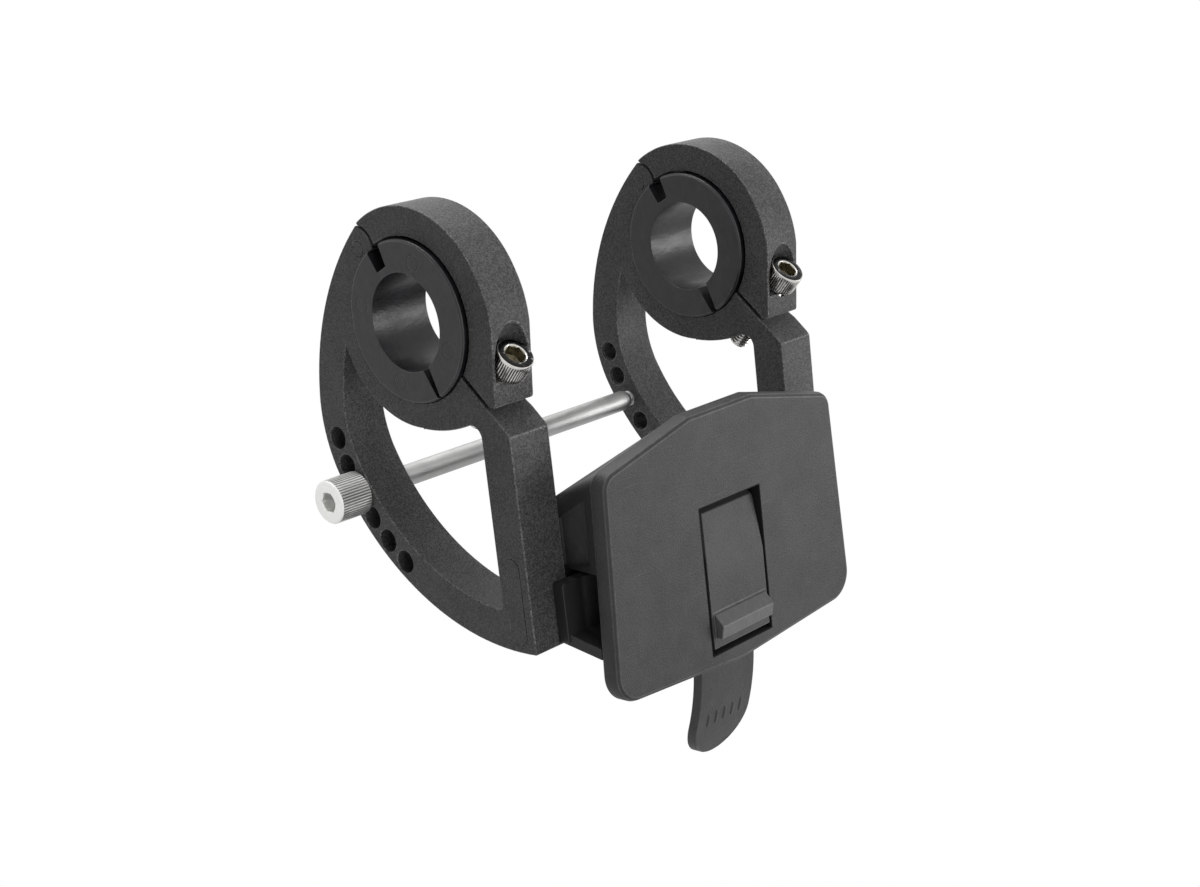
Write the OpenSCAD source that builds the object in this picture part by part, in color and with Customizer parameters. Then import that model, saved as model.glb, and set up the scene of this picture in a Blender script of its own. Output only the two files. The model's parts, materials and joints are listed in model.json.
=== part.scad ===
// Bicycle basket mount: two hinged handlebar clamps on curved alloy arms carry a
// quick release plate. Sizes in mm. X runs along the handlebar, +Y to the rider,
// Z up. The origin is on the handlebar axis, midway between the arms.

/* [Handlebar clamp] */
// Handlebar diameter that the bushes hold
bar_d = 25.4; // [22:0.1:32]
// Outside diameter of the split bushes
bush_od = 42.2; // [36:0.1:52]
// How far a bush stands out of its arm on the left
bush_left = 1.4; // [0.5:0.1:4]
// How far a bush stands out of its arm on the right
bush_right = 4; // [0.5:0.1:6]
// Metal of the arm around the bush
ring_wall = 6.7; // [4:0.1:10]
// Metal of the clamp cap around the bush
cap_wall = 8.3; // [5:0.1:12]
// Gap between cap and arm at the clamp bolt
cap_gap = 1.2; // [0.4:0.1:3]
// Tilt of the clamp bolts below the horizontal
bolt_dip = 47; // [35:1:60]

/* [Arms] */
// Clear width between the two arms
arm_gap = 94; // [70:0.5:130]
// Thickness of each arm and cap
arm_t = 13.3; // [9:0.1:16]
// Height from the handlebar axis down to the foot of the arms
drop = 84; // [74:0.5:105]
// Width of the curved limb seen from the side
limb_w = 10.2; // [8:0.1:13]
// Width of the straight front bar seen from the side
bar_w = 10.3; // [8:0.1:14]
// Distance of the front bar's face ahead of the handlebar axis
bar_front = 31.8; // [28:0.1:40]

/* [Stay rod] */
// Diameter of the stay rod
rod_d = 6; // [4:0.1:8]
// Diameter of the rod's threaded end
rod_thread_d = 5; // [3:0.1:6]
// Diameter of the knurled head
rod_head_d = 12; // [9:0.1:16]
// Length of the knurled head
rod_head_l = 10.5; // [6:0.1:16]
// Number of stay holes in each arm
stay_count = 6; // [3:1:7]
// Stay hole that the rod sits in, counted from the top
stay_used = 3; // [1:1:7]

/* [Cross plate] */
// Thickness of the cross plate, front to back
cross_t = 5.4; // [4:0.1:7]
// Height of the cross plate
cross_h = 23; // [16:0.5:30]

/* [Front plate] */
// Width of the front plate at its foot
plate_w = 97.8; // [80:0.2:120]
// Height of the front plate
plate_h = 70.5; // [60:0.5:85]
// Thickness of the front plate
plate_t = 5; // [3:0.1:7]
// Distance of the front plate's face ahead of the handlebar axis
plate_front = 48; // [46:0.1:60]
// Width of the window for the release tongue
window_w = 24.6; // [18:0.1:32]
// Height of the window for the release tongue
window_h = 40.3; // [34:0.1:46]

/* [Release lever] */
// How far the catch stands out of the front plate
catch_out = 2.9; // [1.5:0.1:4]
// Thickness of the press lever
lever_t = 3.1; // [2.5:0.1:5]
// Width of the press lever
lever_w = 22.3; // [14:0.1:24]
// Length of the press lever below the window
lever_l = 35.8; // [20:0.5:40]
// Diameter of the lever's pivot pin
lever_pin_d = 3; // [2:0.1:4]

/* [Hidden] */
$fn = 96;

// clearances
running = 0.05;
seated = 0.02;
loose = 0.5;
bush_clear = 0.12;
side_clear = 0.15;
long = 300;

// arm positions across the bar
left_x = -arm_gap / 2 - arm_t;
right_x = arm_gap / 2;

// clamp rings
bar_r = bar_d / 2;
bush_r = bush_od / 2;
seat_r = bush_r + bush_clear;
ring_r = bush_r + ring_wall;
cap_r = bush_r + cap_wall;
cap_bore_r = seat_r + loose;

// hinge of the cap, above and behind the bar
hinge_a = 47.8;
hinge_d = 4;
hinge_at = (seat_r + 3.1) * [cos(hinge_a), sin(hinge_a)];
knuckle_r = 6;
eye_r = 4.2;
eye_w = 0.36 * arm_t;
cap_tip_a = 57.5;

// clamp bolt, seen from the side: n points to the bar, u along the bolt to its tip
bolt_d = 6;
left_bolt_l = 20;
right_bolt_l = 24.5;
right_bolt_lift = 1;
head_d = 10;
head_h = 6;
socket_af = 5;
pocket_r = head_d / 2 + 0.8;
bolt_u = [cos(bolt_dip), -sin(bolt_dip)];
bolt_n = [sin(bolt_dip), cos(bolt_dip)];
bolt_out = bush_r + 6.5;
bolt_at = -bolt_out * bolt_n;
arm_face = 1.6;
cap_face = arm_face + cap_gap;
head_seat = cap_face + 6.2;
land = 5.2;
cap_shift = [-0.45, -1];
toe_r = 1;

// limb of the arm: an upper and a lower arc and the arc that joins them
upper_c = [-31.9, -31.6];
upper_r = 73.6;
lower_r = 71.5;
lower_c = [-26.8, -drop + lower_r - 0.2];
joining_r = 40;
lap = 0.05;
joining_c = meet(upper_c, upper_r - joining_r + lap, lower_c, lower_r - joining_r + lap, -1);
bar_back = bar_w - bar_front;
window_corner_r = 2;
window_tip_r = 1.3;
window_knee_r = 3.3;

// the ring runs into the front bar along this arc
strap_r = 44;
strap_c = [-3, strap_r - ring_r - 0.25];

// stay holes lie on one circle along the limb
stay_c = lower_c + [7.7, -7.7];
stay_r = lower_r - 15;
stay_first_a = -13.5;
stay_pitch_a = 7.95;
stay_hole_r = rod_d / 2 + 0.1;
sink = 0.4;
tap_r = rod_thread_d / 2 + running;

// cross plate and what it carries
cross_z = -drop + 13.3;
cross_y = -26.4;
cross_front = cross_y - cross_t / 2;
screw_x = 19;
screw_z = 6.5;

// front plate, its window and the lever's pivot
plate_top = -drop + 51.7;
plate_back = -plate_front + plate_t;
plate_low = plate_top - plate_h;
side_taper = 2.4;
top_flat = 14.5;
shoulder_drop = 11.7;
window_top = plate_top - 25.2;
window_low = window_top - window_h;
pivot = [plate_back + 1.5, window_top - 3.5];
tongue_w = window_w - 1.3;
barrel_r = 4.2;
spring_wire = 0.9;
spring_r = lever_pin_d / 2 + 0.35 + spring_wire / 2;
spring_room = spring_r + spring_wire / 2 + running;
blade_r = 70;
tongue_top = window_top - 0.6;
tongue_face = -plate_front - 0.1;
tongue_sink = 2.4;
flush_z = tongue_top - 16.4;
knee = window_low + 1.4;

// housing between the plate and the cross plate
body_w = plate_w - 2 * side_taper - 2.6;
body_top = plate_top - 1.5;
body_slope = 31;
body_low = -drop + 18.5;
side_fall = 13;
core_w = 62;
wing_w = arm_gap + 10;
wing_t = 3.6;
shelf_t = 3;
wing_low = -drop + 1.1;
shelf_fall = 4.5;
channel_w = window_w + 2;
channel_d = 9.5;
wall = 3;
plate_screw_at = [[36, plate_top - 17.7], [26, -drop + 6]];

// one of the two points where two circles meet
function meet(a, ra, b, rb, side) =
    let (d = norm(b - a), e = (b - a) / d)
    let (k = (ra * ra - rb * rb + d * d) / (2 * d))
    a + k * e + side * sqrt(ra * ra - k * k) * [-e.y, e.x];

// unit vector from a to b
function aim(a, b) = (b - a) / norm(b - a);

// point beside the clamp bolt: h towards its head, w away from the bar
function beside_bolt(h, w) = bolt_at - h * bolt_u - w * bolt_n;

// centre of stay hole i, counted from 1
function stay_at(i) =
    let (a = stay_first_a - stay_pitch_a * (i - 1))
    stay_c + stay_r * [cos(a), sin(a)];

// a side view outline carried along X
module along_x(x, l) {
    translate([x, 0, 0])
        rotate([90, 0, 90])
            linear_extrude(l)
                children();
}

// a front view outline carried along Y
module along_y(y, l) {
    translate([0, y + l, 0])
        rotate([90, 0, 0])
            linear_extrude(l)
                children();
}

// a round bar along X
module bar_x(x, l, r, at) {
    translate([x, at.x, at.y])
        rotate([0, 90, 0])
            cylinder(h = l, r = r);
}

// frame of a clamp bolt: its head points along +Z
module at_bolt(x) {
    translate([x + arm_t / 2, bolt_at.x, bolt_at.y])
        rotate([90 - bolt_dip, 0, 0])
            children();
}

// outline of the limb, moved in by e
module limb_2d(e) {
    a = aim(upper_c, joining_c);
    b = aim(lower_c, joining_c);
    reach = 2 * joining_r;
    difference() {
        intersection() {
            translate(upper_c)
                circle(upper_r - e);
            translate(lower_c)
                circle(lower_r - e);
        }
        corner_cut_2d(joining_c, joining_r - e, [reach * a, reach * b]);
    }
}

// what a round corner leaves off: the fan of rays from at, less a circle
module corner_cut_2d(at, r, rays) {
    difference() {
        polygon(concat([at], [for (v = rays) at + v]));
        translate(at)
            circle(r);
    }
}

// the window of the arm, between ring, limb and front bar
module arm_window_2d() {
    far = 9;
    hair = 0.01;
    tip = meet([0, 0], ring_r + window_tip_r - hair,
        upper_c, upper_r - limb_w - window_tip_r + hair, -1);
    foot_y = bar_back + window_corner_r - hair;
    foot_d = lower_r - limb_w - window_corner_r + hair;
    foot = [foot_y, lower_c.y - sqrt(foot_d * foot_d - pow(foot_y - lower_c.x, 2))];
    knee_y = bar_back + window_knee_r - hair;
    knee_d = strap_r + window_knee_r - hair;
    knee = [knee_y, strap_c.y - sqrt(knee_d * knee_d - pow(knee_y - strap_c.x, 2))];
    difference() {
        limb_2d(limb_w);
        circle(ring_r);
        polygon([[-long, long], [-long, 0], [0, 0], [long, long]]);
        intersection() {
            translate(strap_c)
                circle(strap_r);
            translate([-long, -long])
                square([long, 2 * long]);
        }
        polygon([[-long, long], [-long, -long], [bar_back, -long], [bar_back, long]]);
        corner_cut_2d(tip, window_tip_r,
            [far * aim(tip, [0, 0]), [-far, 3 * far], [0.4 * far, 3 * far],
            far * aim(upper_c, tip)]);
        corner_cut_2d(knee, window_knee_r,
            [[-far, 0], [-far, far], far * aim(knee, strap_c)]);
        corner_cut_2d(foot, window_corner_r,
            [[-far, 0], [-far, -far], far * aim(lower_c, foot)]);
    }
}

// what belongs to the arm and not to the cap, seen from the side
module arm_field_2d() {
    corner = beside_bolt(arm_face, land + 0.3);
    ramp = corner + [-1.6, -1.1];
    crest = [-bar_front + 0.9, ramp.y - 0.95 * (ramp.x + bar_front - 0.9)];
    polygon([[-bar_front, -long], [-bar_front, crest.y - 1.2], crest, ramp, corner,
        beside_bolt(arm_face, -12), [0, 0], long * [cos(hinge_a), sin(hinge_a)],
        [long, -long]]);
    translate(hinge_at)
        circle(knuckle_r);
}

module arm_2d() {
    difference() {
        intersection() {
            limb_2d(0);
            arm_field_2d();
        }
        circle(seat_r);
        arm_window_2d();
        translate([cross_y, cross_z])
            stadium_2d(seated);
    }
}

// section of the cross plate, grown by e
module stadium_2d(e) {
    r = cross_t / 2;
    square([cross_t + 2 * e, cross_h - 2 * r], center = true);
    for (s = [-1, 1])
        translate([0, s * (cross_h / 2 - r)])
            circle(r + e);
}

module arm(x, hole_r) {
    difference() {
        along_x(x, arm_t)
            arm_2d();
        // slot for the eye of the cap
        bar_x(x + (arm_t - eye_w) / 2 - side_clear, eye_w + 2 * side_clear,
            eye_r + loose, hinge_at);
        along_x(x + (arm_t - eye_w) / 2 - side_clear, eye_w + 2 * side_clear)
            polygon([hinge_at, [0, 0], [-long, 0], [0, long],
                long * [cos(hinge_a - 14), sin(hinge_a - 14)]]);
        bar_x(x - 1, arm_t + 2, hinge_d / 2 + seated, hinge_at);
        for (i = [1:stay_count]) {
            bar_x(x - 1, arm_t + 2, hole_r, stay_at(i));
            // countersinks of tapped holes
            if (hole_r < rod_d / 2)
                for (s = [0, 1])
                    translate([x + s * arm_t, stay_at(i).x, stay_at(i).y])
                        rotate([0, 90 + 180 * s, 0])
                            translate([0, 0, -1])
                                cylinder(h = sink + 1, r1 = hole_r + sink + 1, r2 = hole_r);
        }
        at_bolt(x)
            translate([0, 0, -40])
                cylinder(h = 60, r = bolt_d / 2 + running);
    }
}

// the cap seen from the side, without its hinge
module cap_2d() {
    corner = beside_bolt(cap_face, land);
    toe = corner + [-2, -0.3];
    nose = cap_shift - [cap_r, 0];
    difference() {
        union() {
            intersection() {
                union() {
                    circle(cap_r);
                    translate(cap_shift)
                        circle(cap_r);
                }
                polygon([[0, 0], 10 * nose, [-long, long],
                    long * [cos(cap_tip_a), sin(cap_tip_a)]]);
            }
            polygon([[0, 0], nose, toe + toe_r * [-0.1, 1],
                toe + toe_r * [0.2, 0.25], toe + toe_r * [1, 0.1], corner,
                beside_bolt(cap_face, -12)]);
        }
        circle(cap_bore_r);
    }
}

module cap(x) {
    difference() {
        union() {
            difference() {
                along_x(x, arm_t)
                    cap_2d();
                bar_x(x - 1, arm_t + 2, knuckle_r + 0.2, hinge_at);
            }
            // the eye that turns on the hinge pin
            along_x(x + (arm_t - eye_w) / 2, eye_w)
                difference() {
                    union() {
                        translate(hinge_at)
                            circle(eye_r);
                        intersection() {
                            circle(cap_r - 1);
                            polygon([hinge_at, hinge_at + 20 * [cos(62), sin(62)],
                                hinge_at + 20 * [cos(150), sin(150)],
                                hinge_at + 20 * [cos(200), sin(200)]]);
                        }
                    }
                    circle(cap_bore_r);
                }
        }
        bar_x(x - 1, arm_t + 2, hinge_d / 2 + running, hinge_at);
        at_bolt(x) {
            cylinder(h = 40, r = bolt_d / 2 + loose);
            // pocket of the head, open away from the bar
            translate([0, 0, head_seat])
                cylinder(h = 40, r = pocket_r);
            translate([-pocket_r, -40, head_seat])
                cube([2 * pocket_r, 40, 40]);
        }
    }
}

// split bush with its living hinge and its slit, which is w wide at the outside
module bush(x, w) {
    notch_r = bar_r + 2.1;
    notch_w = [4, 5.6];
    slit_w = [w + 0.9, w] + [1, 0];
    edge = 0.5;
    from = x - bush_left;
    l = arm_t + bush_left + bush_right;
    difference() {
        bar_x(from, l, bush_r, [0, 0]);
        bar_x(from - 1, l + 2, bar_r, [0, 0]);
        along_x(from - 1, l + 2) {
            rotate(64)
                wedge_2d([notch_r, bush_r + 1], notch_w);
            rotate(244)
                wedge_2d([bar_r - 1, bush_r + 1], slit_w);
        }
        // broken outer edges
        for (s = [0, 1])
            translate([from + s * l, 0, 0])
                rotate([0, 180 * s + 90, 0])
                    difference() {
                        translate([0, 0, -1])
                            cylinder(h = edge + 1, r = bush_r + 1);
                        translate([0, 0, -1])
                            cylinder(h = edge + 1.01, r1 = bush_r - edge - 1, r2 = bush_r + 0.01);
                    }
    }
}

// a radial gap from reach[0] to reach[1] with these widths at its two ends
module wedge_2d(reach, width) {
    polygon([[reach[0], -width[0] / 2], [reach[1], -width[1] / 2],
        [reach[1], width[1] / 2], [reach[0], width[0] / 2]]);
}

// socket head screw with its seat at z = 0 and its head up
module cap_screw(d, l, dk, k, af) {
    difference() {
        union() {
            translate([0, 0, -l + 0.5])
                cylinder(h = l - 0.5, r = d / 2);
            translate([0, 0, -l])
                cylinder(h = 0.5, r1 = d / 2 - 0.5, r2 = d / 2);
            cylinder(h = k - 0.4, r = dk / 2);
            translate([0, 0, k - 0.4])
                cylinder(h = 0.4, r1 = dk / 2, r2 = dk / 2 - 0.4);
        }
        translate([0, 0, 0.45 * k])
            cylinder(h = k, r = af / sqrt(3), $fn = 6);
    }
}

module clamp_bolt(x, l, lift) {
    at_bolt(x)
        translate([0, 0, head_seat + running + lift])
            cap_screw(bolt_d, l, head_d, head_h, socket_af);
}

module hinge_pin(x) {
    bar_x(x, arm_t, hinge_d / 2, hinge_at);
}

// long rod with a knurled head on the left and a threaded end in the right arm
module stay_rod() {
    at = stay_at(stay_used);
    head_x = left_x - running;
    head_af = 5;
    shank_edge = 0.4;
    shank_end = right_x - 1.6;
    difference() {
        union() {
            bar_x(head_x - rod_head_l + 0.5, rod_head_l - 0.5, rod_head_d / 2, at);
            translate([head_x - rod_head_l, at.x, at.y])
                rotate([0, 90, 0])
                    cylinder(h = 0.5, r1 = rod_head_d / 2 - 0.5, r2 = rod_head_d / 2);
            bar_x(head_x - 1, shank_end - head_x + 1 - shank_edge, rod_d / 2, at);
            translate([shank_end - shank_edge, at.x, at.y])
                rotate([0, 90, 0])
                    cylinder(h = shank_edge, r1 = rod_d / 2, r2 = rod_d / 2 - shank_edge);
            bar_x(head_x, right_x - head_x + arm_t - 1, rod_thread_d / 2, at);
        }
        translate([head_x - rod_head_l - 1, at.x, at.y])
            rotate([0, 90, 0])
                cylinder(h = 0.55 * rod_head_l + 1, r = head_af / sqrt(3), $fn = 6);
    }
}

module cross_plate() {
    difference() {
        along_x(left_x, arm_gap + 2 * arm_t)
            translate([cross_y, cross_z])
                stadium_2d(0);
        for (x = [-screw_x, screw_x], z = [-screw_z, screw_z])
            translate([x, -long / 2, cross_z + z])
                rotate([-90, 0, 0])
                    cylinder(h = long, r = 2.25);
    }
}

// screws from behind through the cross plate into the housing
module cross_screws() {
    for (x = [-screw_x, screw_x], z = [-screw_z, screw_z])
        translate([x, cross_front + cross_t, cross_z + z])
            rotate([-90, 0, 0])
                cap_screw(4, cross_t + 7, 7, 2.4, 2.5);
}

// the front plate's outline, moved in by e
module plate_2d(e) {
    corner_r = 5;
    foot_r = 8;
    foot_rise = 2.9;
    hull() {
        for (s = [-1, 1]) {
            translate([s * (top_flat - 2), plate_top - 2])
                circle(2 - e);
            translate([s * (plate_w / 2 - side_taper - corner_r), plate_top - shoulder_drop])
                circle(corner_r - e);
            translate([s * (plate_w / 2 - foot_r), plate_low + foot_r + foot_rise])
                circle(foot_r - e);
        }
        translate([0, plate_low + 33])
            circle(33 - e);
    }
}

module front_plate() {
    difference() {
        hull() {
            along_y(plate_back - 0.4, 0.4)
                plate_2d(0.4);
            along_y(-plate_front + 1.6, plate_t - 2)
                plate_2d(0);
            along_y(-plate_front + 0.6, 1)
                plate_2d(0.35);
            along_y(-plate_front, 0.6)
                plate_2d(1.2);
        }
        along_y(-plate_front - 1, plate_t + 2)
            translate([-window_w / 2, window_low])
                square([window_w, window_h]);
        for (s = [-1, 1], p = plate_screw_at)
            translate([s * p.x, plate_back + 1, p.y])
                rotate([90, 0, 0])
                    cylinder(h = plate_t - 0.5, r = 1.5 + seated);
    }
}

// screws from inside the housing into the front plate
module plate_screws() {
    for (s = [-1, 1], p = plate_screw_at)
        translate([s * p.x, plate_back + wall, p.y])
            rotate([-90, 0, 0])
                cap_screw(3, wall + 3, 5.5, 2, 2);
}

// the housing's upper part: the plate's outline drawn in towards the rear
module body_form() {
    rim = 0.8;
    slab = 0.4;
    fall = tan(body_slope) * (cross_front - plate_back);
    side_top = body_top - side_fall;
    hull() {
        along_y(plate_back, slab)
            intersection() {
                plate_2d(rim, $fn = 32);
                translate([-long / 2, body_low])
                    square([long, long]);
            }
        along_y(cross_front - slab, slab)
            polygon([[-body_w / 2, body_low], [-body_w / 2, side_top],
                [-top_flat, body_top - fall], [top_flat, body_top - fall],
                [body_w / 2, side_top], [body_w / 2, body_low]]);
    }
}

// the two wings as one outline with small round upper corners
module wings_2d() {
    r = 0.8;
    h = 15.6;
    translate([-wing_w / 2, wing_low])
        square([wing_w, h - r]);
    translate([-wing_w / 2 + r, wing_low])
        square([wing_w - 2 * r, h]);
    for (s = [-1, 1])
        translate([s * (wing_w / 2 - r), wing_low + h - r])
            circle(r);
}

module housing() {
    l = cross_front - plate_back;
    wing_front = -bar_front - wing_t;
    shelf_low = wing_low - shelf_fall;
    pocket_top = body_top - 11;
    panel_deep = 0.5;
    panel_l = 3;
    rib = [1.8, 14];
    rib_x = 29;
    difference() {
        union() {
            body_form();
            // core behind the window
            along_y(plate_back, l)
                translate([-core_w / 2, wing_low + 0.5])
                    square([core_w, body_low - wing_low]);
            // hood around the tongue, down behind the plate
            along_y(plate_back, channel_d + wall)
                translate([-channel_w / 2 - wall, window_low - 0.6])
                    square([channel_w + 2 * wall, body_low - window_low]);
            // wings over the front of the arms
            along_y(wing_front, wing_t - seated)
                wings_2d();
            // shelf that closes the hook slots below, narrower at the plate
            intersection() {
                along_x(-wing_w / 2, wing_w)
                    polygon([[-bar_front - seated, wing_low], [plate_back, shelf_low],
                        [plate_back, shelf_low + shelf_t],
                        [wing_front, wing_low + shelf_t - 1.2],
                        [-bar_front - seated, wing_low + shelf_t]]);
                translate([0, 0, wing_low - long / 2])
                    linear_extrude(long)
                        polygon([[-wing_w / 2, -bar_front], [-plate_w / 2 + 0.4, plate_back],
                            [plate_w / 2 - 0.4, plate_back], [wing_w / 2, -bar_front]]);
            }
        }
        // channel for the tongue, open to the front and below
        along_y(plate_back - 1, channel_d + 1)
            translate([-channel_w / 2, plate_low])
                square([channel_w, window_top + 1.5 - plate_low]);
        for (s = [-1, 1]) {
            // pockets open to the rear
            along_y(plate_back + wall, l)
                polygon([[s * (channel_w / 2 + wall), body_low + wall],
                    [s * (channel_w / 2 + wall), pocket_top],
                    [s * (body_w / 2 - wall), pocket_top - 5],
                    [s * (body_w / 2 - wall), body_low + wall]]);
            // recessed side panels
            along_x(s * (body_w / 2 - panel_deep + panel_l / 2) - panel_l / 2, panel_l)
                polygon([[plate_back + 3, pocket_top - 1.5],
                    [cross_front - 1, pocket_top - 7.5],
                    [cross_front - 1, body_low + 1], [plate_back + 3, body_low + 2]]);
            for (z = [-screw_z, screw_z])
                translate([s * screw_x, cross_front + 1, cross_z + z])
                    rotate([90, 0, 0])
                        cylinder(h = 10, r = 2 + seated);
        }
        // upper screws pass the front wall, lower ones sit in deep holes
        for (s = [-1, 1], p = plate_screw_at)
            translate([s * p.x, plate_back - 1, p.y])
                rotate([-90, 0, 0]) {
                    cylinder(h = long / 2, r = 1.5 + seated);
                    translate([0, 0, wall + 1])
                        cylinder(h = long / 2, r = 3.2);
                }
        bar_x(-channel_w / 2 - wall, channel_w + 2 * wall, lever_pin_d / 2 + seated, pivot);
    }
    // ribs across the rear pockets
    for (s = [-1, 1])
        along_y(plate_back + wall - 0.5, l - wall - 3)
            translate([s * rib_x - rib.x / 2, body_low + wall - 0.5])
                square(rib);
}

// side view of the tongue and the press lever
module lever_side_2d() {
    blade_front = plate_back + 0.6;
    blade_back = blade_front + lever_t;
    blade_c = [blade_front + blade_r, knee - 1.5];
    translate(pivot)
        circle(barrel_r);
    polygon([pivot, [plate_back - 0.4, tongue_top], [tongue_face + tongue_sink, tongue_top],
        [tongue_face, flush_z], [tongue_face, knee], [blade_front, knee],
        [blade_front, knee - 2], [blade_back, knee - 2], [blade_back, knee + 7],
        [plate_back + 0.2, knee + 12]]);
    intersection() {
        translate(blade_c)
            difference() {
                circle(blade_r, $fn = 360);
                circle(blade_r - lever_t, $fn = 360);
            }
        translate([-100, knee - lever_l - 1])
            square([100, lever_l]);
    }
}

// front view of the tongue and the press lever
module lever_front_2d() {
    top = tongue_top;
    top_r = 3;
    tip_r = lever_w / 2 - 0.2;
    translate([-tongue_w / 2, knee])
        square([tongue_w, top - top_r - knee]);
    translate([-tongue_w / 2 + top_r, top - 2 * top_r])
        square([tongue_w - 2 * top_r, 2 * top_r]);
    for (s = [-1, 1]) {
        translate([s * (tongue_w / 2 - top_r), top - top_r])
            circle(top_r);
        translate([s * (lever_w / 2 - tip_r), knee - lever_l + tip_r])
            circle(tip_r);
    }
    translate([-lever_w / 2, knee - lever_l + tip_r])
        square([lever_w, lever_l - tip_r + 0.5]);
    translate([-lever_w / 2 + tip_r, knee - lever_l])
        square([lever_w - 2 * tip_r, tip_r + 1]);
}

module release_lever() {
    front = tongue_face;
    ridge = window_low + 8;
    spring_w = 9;
    difference() {
        union() {
            intersection() {
                along_x(-tongue_w / 2, tongue_w)
                    lever_side_2d();
                along_y(-plate_front - 5, 60)
                    lever_front_2d();
            }
            // the barrel's rear part reaches up behind the plate
            difference() {
                bar_x(-tongue_w / 2, tongue_w, barrel_r, pivot);
                translate([-tongue_w, plate_back + 0.5 - 2 * barrel_r, pivot.y - 2 * barrel_r])
                    cube([2 * tongue_w, 2 * barrel_r, 4 * barrel_r]);
            }
            // catch: a ramp above, a steep face below
            along_x(-tongue_w / 2 + 1, tongue_w - 2)
                polygon([[front + 1, ridge + 3.6], [front, ridge + 3.4],
                    [front - catch_out, ridge], [front - catch_out + 0.8, ridge - 3.6],
                    [front + 1, ridge - 3.6]]);
        }
        bar_x(-tongue_w, 2 * tongue_w, lever_pin_d / 2 + running, pivot);
        // room for the spring behind the tongue
        bar_x(-spring_w / 2, spring_w, spring_room + 0.4, pivot);
        translate([-spring_w / 2, pivot.x - spring_room, pivot.y - 11])
            cube([spring_w, 20, 11]);
        translate([-spring_w / 2, pivot.x, pivot.y - 1])
            cube([spring_w, 20, 20]);
    }
}

module lever_pin() {
    l = channel_w + 2 * wall - 1;
    bar_x(-l / 2, l, lever_pin_d / 2, pivot);
}

// torsion spring around the pin: one leg on the tongue, one towards the housing
module lever_spring() {
    sides = 8;
    steps = 20;
    first_a = 270;
    turns = 3;
    last_a = first_a + 360 * turns + 150;
    front_leg = 9;
    rear_leg = 9.5;
    n = ceil((last_a - first_a) * steps / 360);
    w = spring_wire * 1.4 * (last_a - first_a) / 360;
    ring = [for (k = [0:sides - 1])
        spring_wire / 2 * [cos(360 * k / sides), sin(360 * k / sides)]];
    coil = [for (i = [0:n])
        let (a = first_a + (last_a - first_a) * i / n)
        [w * (i / n - 0.5), spring_r * sin(a), spring_r * cos(a), a]];
    path = concat([leg_end(coil[0], -front_leg)], coil, [leg_end(coil[n], rear_leg)]);
    points = [for (p = path, q = ring)
        [p[0] + q.y, p[1] + q.x * sin(p[3]), p[2] + q.x * cos(p[3])]];
    last = len(path) - 1;
    sheet = [for (i = [0:last - 1], k = [0:sides - 1])
        let (a = i * sides + k, b = i * sides + (k + 1) % sides)
        [a, b, b + sides, a + sides]];
    translate([0, pivot.x, pivot.y])
        polyhedron(points, concat([[for (k = [sides - 1:-1:0]) k]], sheet,
            [[for (k = [0:sides - 1]) last * sides + k]]));
}

// the end of a straight leg that leaves the coil at p
function leg_end(p, l) = [p[0], p[1] + l * cos(p[3]), p[2] - l * sin(p[3]), p[3]];

module left_arm() { color("#2b2c2e") arm(left_x, stay_hole_r); }
module right_arm() { color("#2b2c2e") arm(right_x, tap_r); }
module left_cap() { color("#333436") cap(left_x); }
module right_cap() { color("#333436") cap(right_x); }
module left_hinge_pin() { color("#3a3b3d") hinge_pin(left_x); }
module right_hinge_pin() { color("#3a3b3d") hinge_pin(right_x); }
module left_clamp_bolt() { color("#c8c9cb") clamp_bolt(left_x, left_bolt_l, 0); }
module right_clamp_bolt() {
    color("#c8c9cb")
        clamp_bolt(right_x, right_bolt_l, right_bolt_lift);
}
module left_bush() { color("#35363b") bush(left_x, 0.8); }
module right_bush() { color("#35363b") bush(right_x, 1.7); }

left_arm();
right_arm();
left_cap();
right_cap();
left_hinge_pin();
right_hinge_pin();
left_clamp_bolt();
right_clamp_bolt();
left_bush();
right_bush();
color("#b9babc") stay_rod();
color("#2b2c2e") cross_plate();
color("#3b3c3e") housing();
color("#47484b") front_plate();
color("#4b4c4f") release_lever();
color("#8d8e90") lever_pin();
color("#9a9b9d") lever_spring();
color("#8d8e90") cross_screws();
color("#8d8e90") plate_screws();
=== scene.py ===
"""Bicycle basket mount: finishes, broken edges, knurls, threads, studio and camera.

The solids come from the frame. This script breaks their edges and gives each of them its
finish, and it makes the turned parts again with the knurls and threads that the solids leave
out. Metres, X along the handlebar, +Y to the rider, +Z up, origin on the handlebar axis.
"""

import json
import math

import bmesh
import bpy
import numpy as np
from mathutils import Matrix, Vector


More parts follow.
